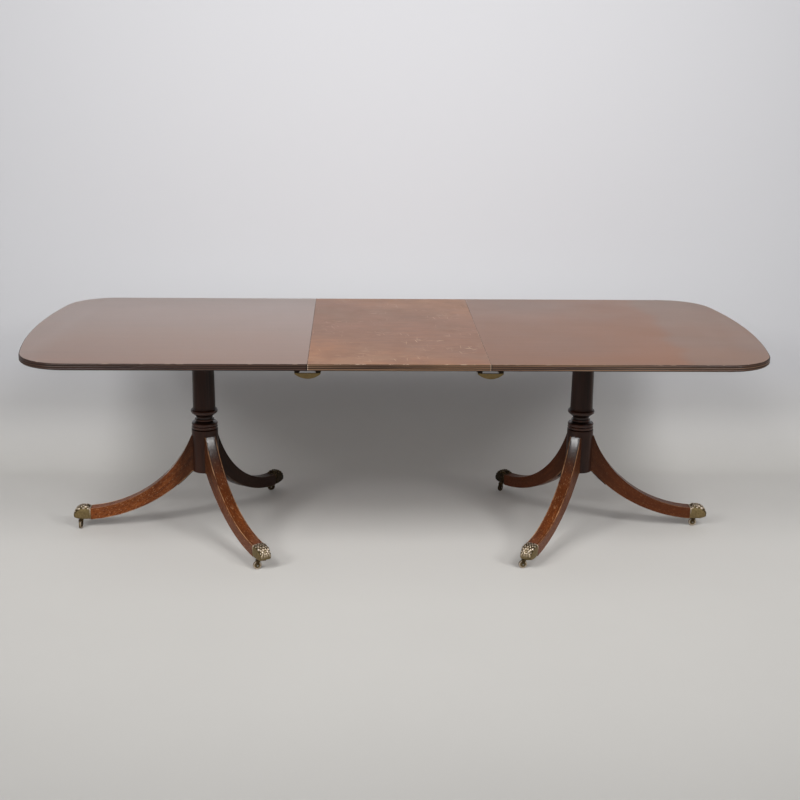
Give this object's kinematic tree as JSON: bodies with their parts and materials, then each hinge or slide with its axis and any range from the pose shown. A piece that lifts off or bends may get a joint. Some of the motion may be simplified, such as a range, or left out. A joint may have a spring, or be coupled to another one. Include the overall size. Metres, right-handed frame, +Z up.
{
  "type": "extending pedestal dining table",
  "caption": "Extending dining table: rounded end sections on turned pillars with sabre legs and brass paw casters, and a loose centre leaf held by sliding brass clips.",
  "frame": {"origin": "on the floor under the middle of the leaf", "axes": "+X along the table's length, +Y to its rear, +Z up"},
  "size_m": [2.5, 1.03, 0.74],
  "materials": {
    "top": "polished mahogany with a hazy, lightly worn shine",
    "leaf": "faded and scratched mahogany",
    "tongue": "plain sawn beech",
    "bearer": "plain mahogany, unpolished",
    "block": "plain mahogany, unpolished",
    "pillar": "dark polished mahogany",
    "leg": "polished mahogany, worn on the edges",
    "tie_plate": "black, dull",
    "cap": "aged, bright where it is rubbed",
    "horn": "aged, dull",
    "wheel": "aged, rubbed on the tread",
    "axle": "dull",
    "clip": "aged, dull",
    "socket": "dark, dull"
  },
  "bodies": {
    "table": {"leaf": "leaf", "left_top": "top", "right_top": "top", "left_front_tongue": "tongue", "left_rear_tongue": "tongue", "right_front_tongue": "tongue", "right_rear_tongue": "tongue", "left_front_leaf_socket": "socket", "left_front_end_socket": "socket", "left_rear_leaf_socket": "socket", "left_rear_end_socket": "socket", "right_front_leaf_socket": "socket", "right_front_end_socket": "socket", "right_rear_leaf_socket": "socket", "right_rear_end_socket": "socket", "left_inner_bearer": "bearer", "left_outer_bearer": "bearer", "right_inner_bearer": "bearer", "right_outer_bearer": "bearer", "left_pillar_block": "block", "right_pillar_block": "block", "left_pillar": "pillar", "right_pillar": "pillar", "left_tie_plate": "tie_plate", "right_tie_plate": "tie_plate", "left_end_leg": "leg", "left_front_leg": "leg", "left_rear_leg": "leg", "right_end_leg": "leg", "right_front_leg": "leg", "right_rear_leg": "leg", "left_end_paw_cap": "cap", "left_front_paw_cap": "cap", "left_rear_paw_cap": "cap", "right_end_paw_cap": "cap", "right_front_paw_cap": "cap", "right_rear_paw_cap": "cap"},
    "left_front_clip_body": {"left_front_clip": "clip"},
    "left_rear_clip_body": {"left_rear_clip": "clip"},
    "right_front_clip_body": {"right_front_clip": "clip"},
    "right_rear_clip_body": {"right_rear_clip": "clip"},
    "left_end_caster": {"left_end_caster_horn": "horn", "left_end_caster_axle": "axle"},
    "left_front_caster": {"left_front_caster_horn": "horn", "left_front_caster_axle": "axle"},
    "left_rear_caster": {"left_rear_caster_horn": "horn", "left_rear_caster_axle": "axle"},
    "right_end_caster": {"right_end_caster_horn": "horn", "right_end_caster_axle": "axle"},
    "right_front_caster": {"right_front_caster_horn": "horn", "right_front_caster_axle": "axle"},
    "right_rear_caster": {"right_rear_caster_horn": "horn", "right_rear_caster_axle": "axle"},
    "left_end_wheel": {"left_end_caster_wheel": "wheel"},
    "left_front_wheel": {"left_front_caster_wheel": "wheel"},
    "left_rear_wheel": {"left_rear_caster_wheel": "wheel"},
    "right_end_wheel": {"right_end_caster_wheel": "wheel"},
    "right_front_wheel": {"right_front_caster_wheel": "wheel"},
    "right_rear_wheel": {"right_rear_caster_wheel": "wheel"}
  },
  "joints": [
    {"name": "left_front_clip_slide", "type": "slide", "parent": "table", "child": "left_front_clip_body", "axis": [0, -1, 0], "range_m": [0, 0.07]},
    {"name": "left_rear_clip_slide", "type": "slide", "parent": "table", "child": "left_rear_clip_body", "axis": [0, 1, 0], "range_m": [0, 0.07]},
    {"name": "right_front_clip_slide", "type": "slide", "parent": "table", "child": "right_front_clip_body", "axis": [0, -1, 0], "range_m": [0, 0.07]},
    {"name": "right_rear_clip_slide", "type": "slide", "parent": "table", "child": "right_rear_clip_body", "axis": [0, 1, 0], "range_m": [0, 0.07]},
    {"name": "left_end_swivel", "type": "hinge", "parent": "table", "child": "left_end_caster", "pos_m": [-1.1225, 0, 0.0335], "axis": [0, 0, 1], "continuous": true},
    {"name": "left_front_swivel", "type": "hinge", "parent": "table", "child": "left_front_caster", "pos_m": [-0.4475, -0.38971, 0.0335], "axis": [0, 0, 1], "continuous": true},
    {"name": "left_rear_swivel", "type": "hinge", "parent": "table", "child": "left_rear_caster", "pos_m": [-0.4475, 0.38971, 0.0335], "axis": [0, 0, 1], "continuous": true},
    {"name": "right_end_swivel", "type": "hinge", "parent": "table", "child": "right_end_caster", "pos_m": [1.1225, 0, 0.0335], "axis": [0, 0, 1], "continuous": true},
    {"name": "right_front_swivel", "type": "hinge", "parent": "table", "child": "right_front_caster", "pos_m": [0.4475, -0.38971, 0.0335], "axis": [0, 0, 1], "continuous": true},
    {"name": "right_rear_swivel", "type": "hinge", "parent": "table", "child": "right_rear_caster", "pos_m": [0.4475, 0.38971, 0.0335], "axis": [0, 0, 1], "continuous": true},
    {"name": "left_end_roll", "type": "hinge", "parent": "left_end_caster", "child": "left_end_wheel", "pos_m": [-1.12563, -0.01773, 0.0145], "axis": [0.9848, -0.1736, 0], "continuous": true},
    {"name": "left_front_roll", "type": "hinge", "parent": "left_front_caster", "child": "left_front_wheel", "pos_m": [-0.46489, -0.39437, 0.0145], "axis": [0.2588, -0.9659, 0], "continuous": true},
    {"name": "left_rear_roll", "type": "hinge", "parent": "left_rear_caster", "child": "left_rear_wheel", "pos_m": [-0.46523, 0.38659, 0.0145], "axis": [0.1736, -0.9848, 0], "continuous": true},
    {"name": "right_end_roll", "type": "hinge", "parent": "right_end_caster", "child": "right_end_wheel", "pos_m": [1.1045, 0, 0.0145], "axis": [0, -1, 0], "continuous": true},
    {"name": "right_front_roll", "type": "hinge", "parent": "right_front_caster", "child": "right_front_wheel", "pos_m": [0.42954, -0.39097, 0.0145], "axis": [0.0698, -0.9976, 0], "continuous": true},
    {"name": "right_rear_roll", "type": "hinge", "parent": "right_rear_caster", "child": "right_rear_wheel", "pos_m": [0.43593, 0.37592, 0.0145], "axis": [0.766, -0.6428, 0], "continuous": true}
  ]
}
